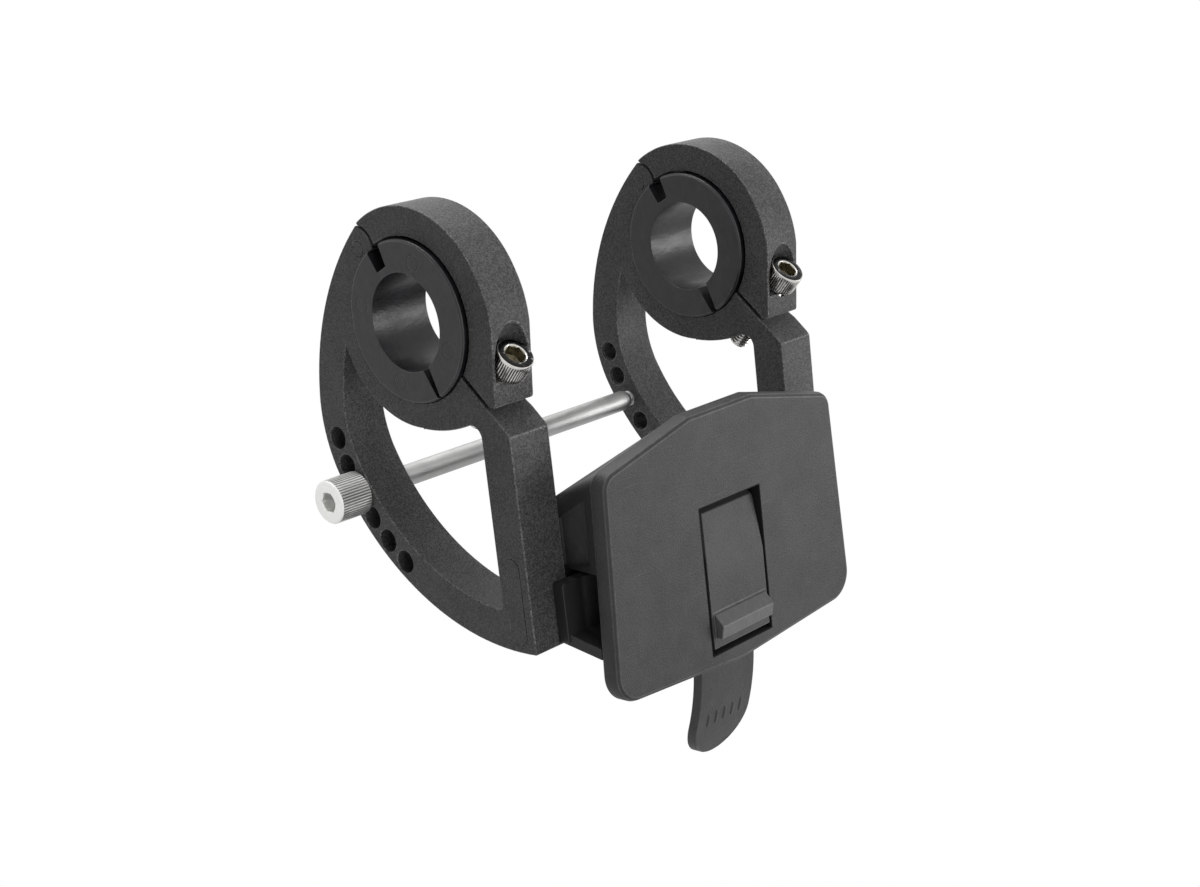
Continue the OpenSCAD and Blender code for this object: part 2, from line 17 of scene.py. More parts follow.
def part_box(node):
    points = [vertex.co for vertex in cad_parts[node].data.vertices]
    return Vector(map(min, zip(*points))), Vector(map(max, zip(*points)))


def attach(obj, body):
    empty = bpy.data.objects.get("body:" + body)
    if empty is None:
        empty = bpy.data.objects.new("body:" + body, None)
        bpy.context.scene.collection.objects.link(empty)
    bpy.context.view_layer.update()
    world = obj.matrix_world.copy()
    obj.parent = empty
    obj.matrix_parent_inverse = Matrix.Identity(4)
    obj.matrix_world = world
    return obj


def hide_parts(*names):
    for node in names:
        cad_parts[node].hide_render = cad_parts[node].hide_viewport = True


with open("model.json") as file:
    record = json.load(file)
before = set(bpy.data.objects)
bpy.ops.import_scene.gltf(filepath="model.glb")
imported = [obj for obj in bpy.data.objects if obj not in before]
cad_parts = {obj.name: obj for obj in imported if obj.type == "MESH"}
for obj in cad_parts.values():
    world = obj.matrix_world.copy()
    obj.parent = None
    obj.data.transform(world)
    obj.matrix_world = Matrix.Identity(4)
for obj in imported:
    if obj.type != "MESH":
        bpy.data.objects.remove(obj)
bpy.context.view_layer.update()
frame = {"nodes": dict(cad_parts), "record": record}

MM = 0.001

record = frame["record"]
body_of_node = {
    node: body for body, members in record["behaviour"]["bodies"].items() for node in members
}


# Finishes

class Wire:
    """A socket whose operators add Math nodes, so that shader sums read as plain sums."""

    def __init__(self, finish, socket):
        self.finish = finish
        self.socket = socket

    def math(self, operation, *values):
        return self.finish.add("Math", {"operation": operation}, *values)

    def __add__(self, other):
        return self.math("ADD", self, other)

    def __sub__(self, other):
        return self.math("SUBTRACT", self, other)

    def __rsub__(self, other):
        return self.math("SUBTRACT", other, self)

    def __mul__(self, other):
        return self.math("MULTIPLY", self, other)

    def __pow__(self, other):
        return self.math("POWER", self, other)

    def __abs__(self):
        return self.math("ABSOLUTE", self)

    __radd__ = __add__
    __rmul__ = __mul__

    def most(self, other):
        """The larger of the two."""
        return self.math("MAXIMUM", self, other)

    def step(self, low, high):
        """0 below low, 1 above high, smooth between."""
        return self.finish.add("MapRange", {"interpolation_type": "SMOOTHSTEP"}, self, low, high)


def rgba(tone):
    """The colour of a grey's level, or of three levels."""
    return (*(tone if isinstance(tone, tuple) else (tone,) * 3), 1)


class Finish:
    """One material: add() makes any node from its type, its settings and its inputs in order."""

    def __init__(self, name, tree=None):
        if tree is None:
            self.material = bpy.data.materials.new(name)
            self.material.use_nodes = True
            tree = self.material.node_tree
        self.tree = tree
        self.tree.nodes.clear()

    def add(self, kind, settings=None, *inputs, out=0, **named):
        node = self.tree.nodes.new("ShaderNode" + kind)
        for key, value in (settings or {}).items():
            setattr(node, key, value)
        for key, value in list(enumerate(inputs)) + list(named.items()):
            if value is None:
                continue
            target = node.inputs[key if isinstance(key, int) else key.replace("_", " ")]
            if isinstance(value, Wire):
                self.tree.links.new(value.socket, target)
            else:
                target.default_value = value
        return Wire(self, node.outputs[out]) if node.outputs else None

    def place(self):
        """Object coordinates."""
        return self.add("TexCoord", out=3)

    def axes(self, at=(0, 0, 0)):
        """X, Y and Z in metres, measured from a point."""
        offset = self.add("VectorMath", {"operation": "SUBTRACT"}, self.place(), at)
        parts = self.add("SeparateXYZ", None, offset)
        return [Wire(self, output) for output in parts.socket.node.outputs]

    def noise(self, size, detail=2.0, rough=0.5, stretch=(1, 1, 1), turn=(0, 0, 0)):
        """Noise from 0 to 1 whose blobs are about size across."""
        where = self.add("Mapping", None, self.place(), None, turn, stretch)
        return self.add("TexNoise", None, where, Scale=1 / size, Detail=detail, Roughness=rough)

    def cells(self, size):
        """The tone of each cell of a grain, from 0 to 1."""
        tone = self.add("TexVoronoi", None, self.place(), Scale=1 / size, out=1)
        return self.add("SeparateColor", None, tone)

    def blend(self, factor, low, high):
        """A colour between two. The Mix node's colours are its inputs 6 and 7."""
        ends = [tone if isinstance(tone, Wire) else rgba(tone) for tone in (low, high)]
        return self.add("Mix", {"data_type": "RGBA"}, factor, *[None] * 5, *ends, out=2)

    def bump(self, height, depth, under=None):
        """Normals of a surface with that height, from 0 to 1, times depth in metres."""
        return self.add("Bump", None, 1.0, depth, None, height, under)

    def close(self, **sockets):
        """Joins the shader to the output and gives back the material."""
        shader = self.add("BsdfPrincipled", None, **sockets)
        self.add("OutputMaterial", None, shader)
        return self.material


SEAM_R = 6.1 * MM
WINDOW_HALF = 12.3 * MM
WINDOW_FOOT = -97.8 * MM
WINDOW_TOP = -57.5 * MM
WINDOW_SHADE_BAND = (0.3 * MM, 0.45 * MM)
WING_X = (44 * MM, 46 * MM)
EJECTOR_R = 2.1 * MM
EJECTOR_AT = 16.4 * MM
EJECTOR_ANGLES = (111, 14, -73, -157)
OUTER_FACES = (54 * MM, 56 * MM)


def hinge_seam_shade(f, colour):
    """Painted shade darkens the seam around the hinge's knuckle, a ring about the pin's axis."""
    low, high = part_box("left_hinge_pin")
    x, y, z = f.axes((0, (low.y + high.y) / 2, (low.z + high.z) / 2))
    off = abs((y * y + z * z) ** 0.5 - SEAM_R)
    return f.blend(1 - off.step(0.45 * MM, 0.6 * MM), colour, 0.003)


def black_alloy(name, low, high, change=None):
    """Black anodised alloy: a blasted grain that sparkles where light grazes it.

    change(finish, colour) may tint places of its own."""
    f = Finish(name)
    grain = f.noise(0.45 * MM, 3, 0.75)
    flake = f.cells(0.32 * MM)
    cloud = f.noise(9 * MM, 3)
    tone = cloud * 0.25 + grain * 0.4 + flake * 0.35
    colour = f.blend(tone.step(0.32, 0.7), low, high)
    return f.close(
        Base_Color=colour if change is None else change(f, colour),
        Roughness=0.3 + grain * 0.2,
        Specular_IOR_Level=0.2,
        Normal=f.bump(grain * 0.6 + flake * 0.4, 0.25 * MM),
    )


def black_coat():
    """Smooth dead black coating of the plate behind the arms."""
    f = Finish("black_coat")
    cloud = f.noise(6 * MM, 3)
    fine = f.noise(0.6 * MM, 2)
    return f.close(
        Base_Color=f.blend(cloud, 0.024, 0.044),
        Roughness=0.5 + fine * 0.15,
        Specular_IOR_Level=0.25,
        Normal=f.bump(fine, 0.03 * MM),
    )


def ejector_marks(f):
    """1 on the thin rings that ejector pins leave on the outer faces of the bushes.

    Each ring lies about a point at EJECTOR_AT from the bar's axis. Further in than OUTER_FACES
    there are none, so the faces between the arms stay smooth."""
    x, y, z = f.axes()
    marks = None
    for angle in EJECTOR_ANGLES:
        a = math.radians(angle)
        dy = y - EJECTOR_AT * math.cos(a)
        dz = z - EJECTOR_AT * math.sin(a)
        off = abs((dy * dy + dz * dz) ** 0.5 - EJECTOR_R)
        ring = 1 - off.step(0.05 * MM, 0.28 * MM)
        marks = ring if marks is None else marks + ring
    return marks * abs(x).step(*OUTER_FACES)


def bush_plastic(name, low, high):
    """Smooth moulded plastic with flow marks, streaks along the bore and ejector marks."""
    f = Finish(name)
    marks = ejector_marks(f)
    flow = f.noise(5 * MM, 4, 0.65)
    streak = f.noise(3 * MM, 4, 0.7, (0.35, 1, 1))
    fine = f.noise(0.5 * MM, 2)
    bed = f.bump(flow * 0.5 + streak * 0.5 + fine * 0.05, 0.2 * MM)
    return f.close(
        Base_Color=f.blend(flow.step(0.25, 0.75) - marks * 0.6, low, high),
        Roughness=0.12 + fine * 0.06 + streak * 0.45,
        Specular_IOR_Level=0.42,
        Normal=f.bump(1 - marks, 0.2 * MM, bed),
    )


def window_edge_shade(f, scuff, colour, rough):
    """Painted shade darkens the edge of the plate's window, and the same band is dulled."""
    x, y, z = f.axes()
    near, far = WINDOW_SHADE_BAND
    across = 1 - abs(x).step(WINDOW_HALF + near, WINDOW_HALF + far)
    above = z.step(WINDOW_FOOT - far, WINDOW_FOOT - near)
    below = 1 - z.step(WINDOW_TOP + near, WINDOW_TOP + far)
    # The band of painted shade along the window's edge.
    window = across * above * below
    return f.blend(window, colour, 0.001), rough + window * 0.6


def wing_shade(f, scuff, colour, rough):
    """Painted shade darkens the wings beside the arms, where the plate shades them."""
    x, y, z = f.axes()
    return f.blend(abs(x).step(*WING_X) * 0.86, colour, 0.006), rough


def lever_highlight_and_shade(f, scuff, colour, rough):
    """The catch is painted lighter: a painted highlight where light from above falls on it,
    uneven with the scuffs. Painted shade darkens and dulls the tongue where it dips under the
    window's edge: along its top, and along its left side, as far in as it lies deep."""
    x, y, z = f.axes()
    catch = 1 - y.step(-48.7 * MM, -48.4 * MM)
    # Painted highlight on the catch.
    colour = f.blend(catch * (0.35 + scuff * 0.6), colour, 0.21)
    deep = ((z + 74.5 * MM) * (2.4 / 16.4)).most(0.0)
    side = 1 - (x + WINDOW_HALF - deep).step(0.4 * MM, 1.0 * MM)
    top = z.step(-60.0 * MM, -59.2 * MM)
    # Painted shade along the tongue's top and left side, kept above the blade.
    painted_shade = side.most(top) * z.step(-98 * MM, -96 * MM)
    return f.blend(painted_shade * 0.95, colour, 0.002), rough + painted_shade * 0.6


def moulded(name, low, high, grain_mm, depth_mm, rough, scratch=0.0, change=None):
    """Matt moulded plastic: cloudy tone, light scuffs, scratches and a spark-eroded grain.

    change(finish, scuff, colour, rough) may tint and dull places of its own."""
    f = Finish(name)
    cloud = f.noise(14 * MM, 5, 0.65)
    scuff = f.noise(2.2 * MM, 5, 0.75, (1.0, 1.0, 0.45))
    grain = f.noise(grain_mm * MM, 2, 0.6)
    tone = cloud * 0.45 + scuff * 0.3 + grain * 0.25
    colour = f.blend(tone.step(0.36, 0.64), low, high)
    if scratch:
        for angle, size in ((1.15, 0.45), (0.5, 0.6), (-0.9, 0.5)):
            line = f.noise(size * MM, 2, 0.5, (0.035, 1, 1), (0, angle, 0)).step(0.64, 0.76)
            here = f.noise(9 * MM, 2, 0.5, (1, 1, 1), (0.3, angle, 0)).step(0.5, 0.64)
            colour = f.blend(line * here * scratch, colour, high * 2.6)
    rough = rough + scuff * 0.12
    if change is not None:
        colour, rough = change(f, scuff, colour, rough)
    return f.close(
        Base_Color=colour,
        Roughness=rough,
        Specular_IOR_Level=0.4,
        Normal=f.bump(grain * 0.75 + scuff * 0.25, depth_mm * MM),
    )


def plated(name, low, high, rough, spot_mm=1.2, dark=0.0):
    """Bright plating with slightly uneven tone. dark is the share that stays at the low tone."""
    f = Finish(name)
    patch = f.noise(spot_mm * MM, 3, 0.6)
    fine = f.noise(0.2 * MM, 2)
    return f.close(
        Base_Color=f.blend(patch.step(dark, dark + 0.2) if dark else patch, low, high),
        Roughness=rough + patch * 0.12,
        Metallic=1.0,
        Normal=f.bump(fine, 0.01 * MM),
    )


def drawn_rod():
    """Satin bright rod with draw lines along its length."""
    f = Finish("drawn_rod")
    lines = f.noise(0.35 * MM, 3, 0.6, (0.04, 1, 1))
    patch = f.noise(4 * MM, 3, 0.6, (0.5, 1, 1))
    return f.close(
        Base_Color=f.blend(patch, (0.27, 0.27, 0.267), (0.54, 0.54, 0.532)),
        Roughness=0.4 + patch * 0.18,
        Metallic=1.0,
        Normal=f.bump(lines, 0.05 * MM),
    )


ALLOY = black_alloy("black_alloy", (0.050, 0.050, 0.051), (0.158, 0.156, 0.152))
# Lighter alloy for the broken edges: a painted highlight, with the hinge seam's painted shade.
EDGE_HIGHLIGHT_ALLOY = black_alloy("edge_highlight_alloy", (0.09, 0.09, 0.09), (0.36, 0.355, 0.35), hinge_seam_shade)
COAT = black_coat()
BUSH = bush_plastic("bush_plastic", (0.004, 0.004, 0.005), (0.019, 0.019, 0.023))
# Lighter bush plastic for the broken edges: a painted highlight.
BUSH_RIM_HIGHLIGHT = bush_plastic("bush_rim_highlight", (0.04, 0.04, 0.042), (0.09, 0.09, 0.094))
# The plate's and the lever's _RIM copies are lighter, for the broken edges: painted highlights.
# The plate's two paint shade along the window's edge, the lever's two paint a highlight on the
# catch and shade on the tongue, and the housing's two paint shade on the wings.
PLATE = moulded("plate_plastic", 0.012, 0.044, 0.5, 0.14, 0.46, 0.5, window_edge_shade)
PLATE_RIM_HIGHLIGHT = moulded("plate_rim_highlight", 0.05, 0.12, 0.7, 0.06, 0.42, 0.0, window_edge_shade)
LEVER = moulded("lever_plastic", 0.032, 0.064, 0.5, 0.14, 0.5, 0.0, lever_highlight_and_shade)
LEVER_RIM_HIGHLIGHT = moulded("lever_rim_highlight", 0.06, 0.13, 0.5, 0.12, 0.45, 0.0, lever_highlight_and_shade)
HOUSING = moulded("housing_plastic", 0.085, 0.140, 0.6, 0.08, 0.45, 0.0, wing_shade)
HOUSING_RIM = moulded("housing_rim", 0.07, 0.12, 0.6, 0.05, 0.42, 0.0, wing_shade)
ZINC = plated("zinc_plating", (0.52, 0.51, 0.49), (0.70, 0.69, 0.66), 0.2)
# Darker plating inside the hexagonal socket: painted shade, with painted glints from its patches.
SOCKET_SHADE = plated("socket_shade_plating", (0.09, 0.083, 0.06), (0.40, 0.37, 0.28), 0.22, 0.9)
# Dark plating with bright patches on the head's top face: a painted reflection with painted
# glints.
HEAD_FACE_REFLECTION = plated("head_face_painted_reflection", (0.02, 0.02, 0.02), (0.62, 0.62, 0.61), 0.12, 1.3, 0.6)
# Darker plating on the knurl's roots: painted shade in the grooves.
GROOVE_SHADE = plated("groove_shade_plating", (0.07, 0.07, 0.07), (0.16, 0.16, 0.155), 0.3)
NICKEL = plated("satin_nickel", (0.72, 0.72, 0.71), (0.88, 0.88, 0.86), 0.45)
# Darker nickel on the rod head's knurl roots: painted shade in the grooves.
NICKEL_GROOVE_SHADE = plated("groove_nickel_shade", (0.24, 0.24, 0.235), (0.40, 0.40, 0.39), 0.5)
ROD = drawn_rod()


# Solids with broken edges

WELD = 0.002 * MM
FLAT = math.radians(0.4)
CORNER = math.radians(32)
EDGE_STEPS = 2


def round_edges(node, material, rim, width_mm):
    """Stands for a CAD node: the same solid with its points merged and its edges broken.

    The broken edges take the rim's material; where that is a lighter copy, it is a painted
    highlight along the edges."""
    source = frame["nodes"][node]
    mesh = source.data.copy()
    mesh.name = node + "_finished"
    made = bmesh.new()
    made.from_mesh(mesh)
    bmesh.ops.remove_doubles(made, verts=made.verts, dist=WELD)
    bmesh.ops.dissolve_degenerate(made, edges=made.edges, dist=WELD)
    bmesh.ops.dissolve_limit(made, angle_limit=FLAT, verts=made.verts, edges=made.edges)
    made.to_mesh(mesh)
    made.free()
    if mesh.has_custom_normals:
        mesh.attributes.remove(mesh.attributes["custom_normal"])
    mesh.shade_smooth()
    mesh.set_sharp_from_angle(angle=CORNER)
    mesh.materials.clear()
    mesh.materials.append(material)
    mesh.materials.append(rim)
    piece = bpy.data.objects.new(node + "_finished", mesh)
    bpy.context.scene.collection.objects.link(piece)
    if width_mm:
        bevel = piece.modifiers.new("edges", "BEVEL")
        bevel.width = width_mm * MM
        bevel.segments = EDGE_STEPS
        bevel.limit_method = "ANGLE"
        bevel.angle_limit = CORNER
        bevel.harden_normals = True
        bevel.use_clamp_overlap = False
        # The bevel faces take material 1, the rim's, which in several pieces is a painted edge
        # highlight.
        bevel.material = 1
    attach(piece, body_of_node[node])
    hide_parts(node)
    return piece


# Each row: node, its material, the broken edges' material (for the arms, caps, bushes, plate and
# lever a lighter copy, a painted highlight) and the edge width in mm.
EDGES = [
    ("left_arm", ALLOY, EDGE_HIGHLIGHT_ALLOY, 0.3), ("right_arm", ALLOY, EDGE_HIGHLIGHT_ALLOY, 0.3),
    ("left_cap", ALLOY, EDGE_HIGHLIGHT_ALLOY, 0.3), ("right_cap", ALLOY, EDGE_HIGHLIGHT_ALLOY, 0.3),
    ("left_hinge_pin", ALLOY, ALLOY, 0.15), ("right_hinge_pin", ALLOY, ALLOY, 0.15),
    ("left_bush", BUSH, BUSH_RIM_HIGHLIGHT, 0.2), ("right_bush", BUSH, BUSH_RIM_HIGHLIGHT, 0.2),
    ("cross_plate", COAT, COAT, 0), ("housing", HOUSING, HOUSING_RIM, 0.25),
    ("front_plate", PLATE, PLATE_RIM_HIGHLIGHT, 0.2), ("release_lever", LEVER, LEVER_RIM_HIGHLIGHT, 0.3),
    ("lever_pin", ZINC, ZINC, 0.15), ("lever_spring", ZINC, ZINC, 0),
    ("cross_screws", ZINC, ZINC, 0.12), ("plate_screws", ZINC, ZINC, 0.1),
]
finished = {node: round_edges(node, *rest) for node, *rest in EDGES}


def tab_ends(piece, outside_m):
    """The ends of the cross plate lie flush in the arms and are blasted with them."""
    mesh = piece.data
    mesh.materials.append(ALLOY)
    centre = np.empty(len(mesh.polygons) * 3)
    mesh.polygons.foreach_get("center", centre)
    ends = np.abs(centre.reshape(-1, 3)[:, 0]) > outside_m
    mesh.polygons.foreach_set("material_index", np.where(ends, 2, 0))


tab_ends(finished["cross_plate"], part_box("cross_plate")[1].x - 0.5 * MM)


# Turned parts

def turned(name, rings, place, materials, body, node, bands=(), grooves=None):
    """A closed turned piece: ring i lies at height rings[i][0] with radii rings[i][1] over
    equal angles. place is the 4x4 matrix from its own Z axis to the frame.

    bands lists (first ring, material index) in order. grooves gives the first and last ring
    of a knurl of four sides to a tooth, and the material index of the two sides by its root:
    the callers give these roots a darker material, painted shade in the grooves."""
    height = np.array([r[0] for r in rings])
    radius = np.array([r[1] for r in rings])
    count, sides = radius.shape
    angle = np.arange(sides) * 2 * np.pi / sides
    points = np.empty((count, sides, 3))
    points[..., 0] = radius * np.cos(angle)
    points[..., 1] = radius * np.sin(angle)
    points[..., 2] = height[:, None]
    ends = np.array([[0, 0, height[0]], [0, 0, height[-1]]])
    points = np.vstack([points.reshape(-1, 3), ends])
    matrix = np.array(place)
    points = points @ matrix[:3, :3].T + matrix[:3, 3]
    row, column = np.meshgrid(np.arange(count - 1), np.arange(sides), indexing="ij")
    after = (column + 1) % sides
    quads = np.stack(
        [row * sides + column, row * sides + after,
         (row + 1) * sides + after, (row + 1) * sides + column], axis=-1
    ).reshape(-1, 4)
    first, last = count * sides, count * sides + 1
    around = np.arange(sides)
    beside = (around + 1) % sides
    top = (count - 1) * sides
    faces = quads.tolist()
    faces += np.stack([beside, around, np.full(sides, first)], axis=-1).tolist()
    faces += np.stack([top + around, top + beside, np.full(sides, last)], axis=-1).tolist()
    mesh = bpy.data.meshes.new(name)
    mesh.from_pydata(points.tolist(), [], faces)
    mesh.shade_smooth()
    mesh.set_sharp_from_angle(angle=math.radians(35))
    for material in materials:
        mesh.materials.append(material)
    index = np.zeros((count - 1, sides), int)
    for first_ring, band in bands:
        index[first_ring:] = band
    if grooves is not None:
        root = np.isin(around % 4, (0, 3))
        index[grooves[0]:grooves[1], root] = grooves[2]
    caps = [np.full(sides, index[0, 0]), np.full(sides, index[-1, 0])]
    mesh.polygons.foreach_set("material_index", np.concatenate([index.ravel(), *caps]))
    piece = bpy.data.objects.new(name, mesh)
    bpy.context.scene.collection.objects.link(piece)
    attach(piece, body)
    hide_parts(node)
    return piece


def hexagon(flats, angle):
    """Radius of a hexagonal hole with that size across its flats, at each angle."""
    sixth = np.pi / 3
    return flats / 2 / np.cos((angle + sixth / 2) % sixth - sixth / 2)


def knurl(angle, teeth, depth):
    """Radius taken off by straight teeth of triangular section."""
    phase = (angle * teeth / (2 * np.pi)) % 1
    return depth * np.abs(2 * phase - 1)


def thread(height, angle, pitch, depth):
    """Radius taken off by a thread: flat crest, sloped flanks, narrow root."""
    phase = (height / pitch - angle / (2 * np.pi)) % 1
    return depth * np.clip(1.6 * (1 - np.abs(2 * phase - 1)) - 0.25, 0, 1)


def mm(*sizes):
    """Sizes in millimetres, as metres."""
    return [size * MM for size in sizes]


RINGS_PER_TURN = 7
LEAD_IN = 0.45 * MM


def socket_screw(name, length, place, body, node, materials):
    """Socket head screw with its seat at Z = 0: a shank whose rings follow the thread's helix,
    a head whose rings carry the knurl, and a hexagonal socket in its top."""
    r, head_r, head_h, flats, pitch, deep = mm(3, 5, 6, 5, 1, 3.1)
    teeth = 46
    sides = 4 * teeth
    angle = np.arange(sides) * 2 * np.pi / sides
    plain = np.ones(sides)
    rings = [(-length, plain * (r - 0.9 * MM)), (-length + 0.3 * MM, plain * (r - 0.5 * MM))]
    start, stop = -length + 0.35 * MM, -1.2 * MM
    steps = int((stop - start) / pitch * RINGS_PER_TURN)
    for i in range(steps + 1):
        z = start + (stop - start) * i / steps
        fade = min(1, i / RINGS_PER_TURN, (steps - i) / RINGS_PER_TURN)
        lead = max(0, 1 - i / (1.5 * RINGS_PER_TURN)) * LEAD_IN
        rings.append((z, r - lead - fade * thread(z, angle, pitch, 0.45 * MM)))
    rings += [(-0.02 * MM, plain * r), (0, plain * (r + 0.05 * MM)),
              (0, plain * (head_r - 0.35 * MM)), (0.12 * MM, plain * (head_r - 0.16 * MM))]
    cut = knurl(angle, teeth, 0.2 * MM)
    knurl_from = len(rings)
    for i, z in enumerate(np.linspace(0.35 * MM, head_h - 0.75 * MM, 5)):
        share = 0.3 if i in (0, 4) else 1.0
        rings.append((z, head_r - 0.02 * MM - share * cut))
    # The knurl's roots take material 3, painted shade in the grooves.
    grooves = (knurl_from, len(rings) - 1, 3)
    corner_r = flats / math.sqrt(3)
    rings += [(head_h - 0.6 * MM, plain * (head_r - 0.03 * MM)),
              (head_h - 0.35 * MM, plain * (head_r - 0.05 * MM)),
              (head_h - 0.1 * MM, plain * (head_r - 0.15 * MM)),
              (head_h, plain * (head_r - 0.32 * MM)),
              (head_h, plain * (corner_r + 0.22 * MM)),
              (head_h - 0.2 * MM, np.maximum(hexagon(flats, angle), corner_r * 0.96))]
    inside = len(rings) - 1
    # The head's top face takes material 2, a painted reflection; its chamfer into the socket
    # takes the plating.
    bands = [(inside - 2, 2), (inside - 1, 0), (inside, 1)]
    # The socket's walls take material 1: painted shade with painted glints.
    rings += [(head_h - 0.35 * MM, hexagon(flats, angle)), (head_h - deep, hexagon(flats, angle)),
              (head_h - deep - 0.4 * MM, plain * flats / 4)]
    return turned(name, rings, place, materials, body, node, bands, grooves)


BOLT_DIP = math.radians(47)
BOLT_BACK = 27.6 * MM
toward_bar = Vector((0, math.sin(BOLT_DIP), math.cos(BOLT_DIP)))
to_head = Vector((0, -math.cos(BOLT_DIP), math.sin(BOLT_DIP)))


def bolt_place(x, seat):
    """From the bolt's own axis to the frame: Z to its head, X along the handlebar."""
    foot = to_head * seat - toward_bar * BOLT_BACK
    along = Vector((1, 0, 0))
    other = to_head.cross(along)
    return Matrix((
        (along.x, other.x, to_head.x, x),
        (along.y, other.y, to_head.y, foot.y),
        (along.z, other.z, to_head.z, foot.z),
        (0, 0, 0, 1),
    ))


for side, length, seat in (("left", *mm(20, 9.05)), ("right", *mm(24.5, 10.05))):
    low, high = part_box(side + "_clamp_bolt")
    socket_screw(
        side + "_bolt_knurled", length, bolt_place((low.x + high.x) / 2, seat),
        side + "_bolt", side + "_clamp_bolt", (ZINC, SOCKET_SHADE, HEAD_FACE_REFLECTION, GROOVE_SHADE),
    )


def stay_rod():
    """The stay rod from its head's face along X: a knurled head with a hexagonal socket, a
    plain shank, and an end whose rings follow the thread's helix."""
    low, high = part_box("stay_rod")
    length = high.x - low.x
    r, head_r, thread_r, head_l, thread_l, flats, deep, pitch = mm(
        3, 6, 2.5, 10.5, 13.9, 5, 5, 0.8)
    teeth = 48
    sides = 4 * teeth
    angle = np.arange(sides) * 2 * np.pi / sides
    plain = np.ones(sides)
    mouth = np.maximum(hexagon(flats, angle), flats / math.sqrt(3) * 0.93) + 0.2 * MM
    rings = [(deep + 0.6 * MM, plain * flats / 4), (deep, hexagon(flats, angle)),
             (0.3 * MM, hexagon(flats, angle)), (0, mouth),
             (0, plain * (head_r - 0.75 * MM)), (0.12 * MM, plain * (head_r - 0.42 * MM)),
             (0.35 * MM, plain * (head_r - 0.2 * MM))]
    cut = knurl(angle, teeth, 0.28 * MM)
    knurl_from = len(rings)
    for i, x in enumerate(np.linspace(0.5 * MM, head_l - 0.5 * MM, 7)):
        share = 0.45 if i in (0, 6) else 1.0
        rings.append((x, head_r - 0.01 * MM - share * cut))
    # The knurl's roots take material 2, painted shade in the grooves.
    grooves = (knurl_from, len(rings) - 1, 2)
    rings += [(head_l - 0.3 * MM, plain * (head_r - 0.3 * MM)),
              (head_l, plain * (head_r - 0.6 * MM)),
              (head_l, plain * (r + 0.2 * MM)), (head_l + 0.05 * MM, plain * r)]
    shank_from = len(rings) - 1
    stop = length - thread_l
    for x in np.linspace(head_l + 1 * MM, stop - 0.8 * MM, 12):
        rings.append((x, plain * r))
    rings += [(stop - 0.4 * MM, plain * r), (stop, plain * (r - 0.4 * MM)),
              (stop + 0.1 * MM, plain * thread_r)]
    start, tip = stop + 0.5 * MM, length - 0.4 * MM
    steps = int((tip - start) / pitch * RINGS_PER_TURN)
    for i in range(1, steps + 1):
        x = start + (tip - start) * i / steps
        fade = min(1, i / RINGS_PER_TURN, (steps - i) / (0.5 * RINGS_PER_TURN))
        lead = max(0, 1 - (steps - i) / (1.5 * RINGS_PER_TURN)) * LEAD_IN
        rings.append((x, thread_r - lead - fade * thread(x, angle, pitch, 0.4 * MM)))
    rings.append((length, plain * (thread_r - 0.9 * MM)))
    centre = (low + high) / 2
    along = Matrix((
        (0, 0, 1, low.x), (0, 1, 0, centre.y), (-1, 0, 0, centre.z), (0, 0, 0, 1),
    ))
    return turned(
        "stay_rod_turned", rings, along, (NICKEL, ROD, NICKEL_GROOVE_SHADE), "stay", "stay_rod",
        [(shank_from, 1)], grooves,
    )


stay_rod()


# Grip ribs

RIBS_AT = (-6.8, -3.4, 0, 3.4, 6.8)
ACROSS, ALONG = 9, 13


def lever_ribs():
    """Five upright grip ribs on the lever's blade, where a thumb presses.

    Each rib is a grid over u (across) and v (along), both from -1 to 1. Its height is
    (1 - |u|^3)(1 - v^8) times the rib's height, over the blade's front, which is a cylinder
    of radius 70 mm about an axis along X. The grid's rim lies inside the blade."""
    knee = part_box("release_lever")[0].z / MM + 35.8
    blade_r, face = 70.0, -42.4
    wide, tall, high, sunk = 0.75, 2.3, 0.32, 0.25
    u, v = np.meshgrid(np.linspace(-1, 1, ACROSS), np.linspace(-1, 1, ALONG), indexing="ij")
    row, column = np.meshgrid(np.arange(ACROSS - 1), np.arange(ALONG - 1), indexing="ij")
    corner = row * ALONG + column
    quads = np.stack([corner, corner + ALONG, corner + ALONG + 1, corner + 1], axis=-1)
    drop = 23.6 - tall * v
    rise = (high + sunk) * (1 - np.abs(u) ** 3) * (1 - np.abs(v) ** 8) - sunk
    tilt = np.arcsin((1.5 - drop) / blade_r)
    y = face + blade_r - (blade_r + rise) * np.cos(tilt)
    z = knee - 1.5 + (blade_r + rise) * np.sin(tilt)
    points, faces = [], []
    for i, middle in enumerate(RIBS_AT):
        x = middle + wide * u * (1 - 0.25 * np.abs(v) ** 6)
        points.append(np.stack([x, y, z], axis=-1).reshape(-1, 3) * MM)
        faces.append(i * u.size + quads.reshape(-1, 4))
    mesh = bpy.data.meshes.new("lever_ribs")
    mesh.from_pydata(np.vstack(points).tolist(), [], np.vstack(faces).tolist())
    mesh.shade_smooth()
    mesh.materials.append(LEVER)
    piece = bpy.data.objects.new("lever_ribs", mesh)
    bpy.context.scene.collection.objects.link(piece)
    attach(piece, "lever")


lever_ribs()


# Camera and studio

FOCAL_PX = 1916.525
PHOTO_WIDTH_PX = 1200
SENSOR_MM = 36


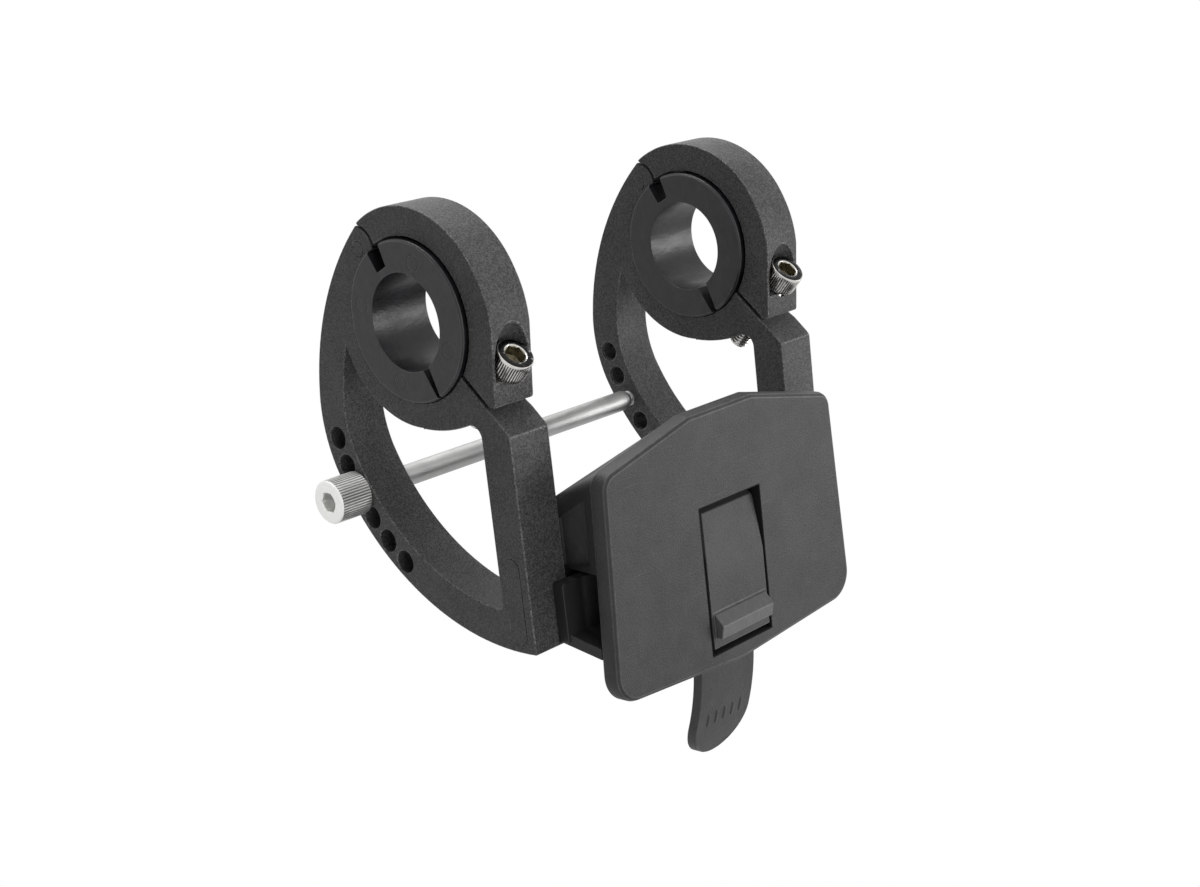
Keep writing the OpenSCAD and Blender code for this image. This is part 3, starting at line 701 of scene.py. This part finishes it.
def camera():
    """The photograph's view, solved from the arms, holes and plate edges that it shows."""
    place = Vector((-366.869, -366.293, 82.203)) * MM
    azimuth, elevation, roll = (math.radians(v) for v in (-45.246, 14.054, -6.373))
    back = Vector((
        math.sin(azimuth) * math.cos(elevation),
        -math.cos(azimuth) * math.cos(elevation),
        math.sin(elevation),
    ))
    level = Vector((math.cos(azimuth), math.sin(azimuth), 0))
    above = back.cross(level)
    right = level * math.cos(roll) + above * math.sin(roll)
    up = above * math.cos(roll) - level * math.sin(roll)
    data = bpy.data.cameras.new("camera")
    data.sensor_width = SENSOR_MM
    data.lens = FOCAL_PX / PHOTO_WIDTH_PX * SENSOR_MM
    data.clip_start = 0.01
    made = bpy.data.objects.new("camera", data)
    made.matrix_world = Matrix((
        (right.x, up.x, back.x, place.x),
        (right.y, up.y, back.y, place.y),
        (right.z, up.z, back.z, place.z),
        (0, 0, 0, 1),
    ))
    bpy.context.scene.collection.objects.link(made)
    bpy.context.scene.camera = made


def soft_box(name, place, width, height, watts):
    """A rectangular lamp that faces the middle of the mount."""
    data = bpy.data.lights.new(name, "AREA")
    data.shape = "RECTANGLE"
    data.size = width
    data.size_y = height
    data.energy = watts
    made = bpy.data.objects.new(name, data)
    made.location = place
    aim = Vector((0, 0, -0.03)) - Vector(place)
    made.rotation_euler = aim.to_track_quat("-Z", "Y").to_euler()
    bpy.context.scene.collection.objects.link(made)


SHOWN_TO = ("Is Camera Ray", "Is Glossy Ray", "Is Transmission Ray")
WHITE = rgba(1.0)


def shown(f):
    """1 for the rays that see the background as it looks, 0 for those that carry its light."""
    camera_ray, gloss_ray, glass_ray = (f.add("LightPath", out=name) for name in SHOWN_TO)
    return camera_ray.most(gloss_ray).most(glass_ray)


def white_room(level):
    """World of an even grey light; the camera, gloss and glass see it white."""
    world = bpy.data.worlds.new("studio")
    bpy.context.scene.world = world
    world.use_nodes = True
    f = Finish("studio", world.node_tree)
    light = f.add("Background", None, WHITE, level)
    bright = f.add("Background", None, WHITE, 1.0)
    f.add("OutputWorld", None, f.add("MixShader", None, shown(f), light, bright))


def floor(depth, half):
    """A wide pale floor well below the hanging mount. It shows half of the mount's shadow, and
    plain white further out."""
    mesh = bpy.data.meshes.new("floor")
    corners = [(-half, -half), (half, -half), (half, half), (-half, half)]
    mesh.from_pydata([(x, y, depth) for x, y in corners], [], [(0, 1, 2, 3)])
    f = Finish("pale_floor")
    x, y, z = f.axes()
    far = ((x * x + y * y) ** 0.5).step(0.14, 0.36)
    lit = f.add("BsdfDiffuse", None, rgba(0.9))
    bright = f.add("Emission", None, WHITE, 1.0)
    share = shown(f) * (0.5 + far * 0.5)
    f.add("OutputMaterial", None, f.add("MixShader", None, share, lit, bright))
    mesh.materials.append(f.material)
    made = bpy.data.objects.new("floor", mesh)
    bpy.context.scene.collection.objects.link(made)


camera()
white_room(0.04)
floor(-0.36, 3.0)
soft_box("overhead", (0.15, 0.35, 1.4), 0.9, 0.9, 18)
soft_box("right_low", (1.0, -0.95, -0.1), 0.6, 0.7, 8.4)
soft_box("front", (-0.35, -1.4, 0.15), 0.9, 0.6, 3.6)
bpy.context.scene.view_settings.view_transform = "Standard"
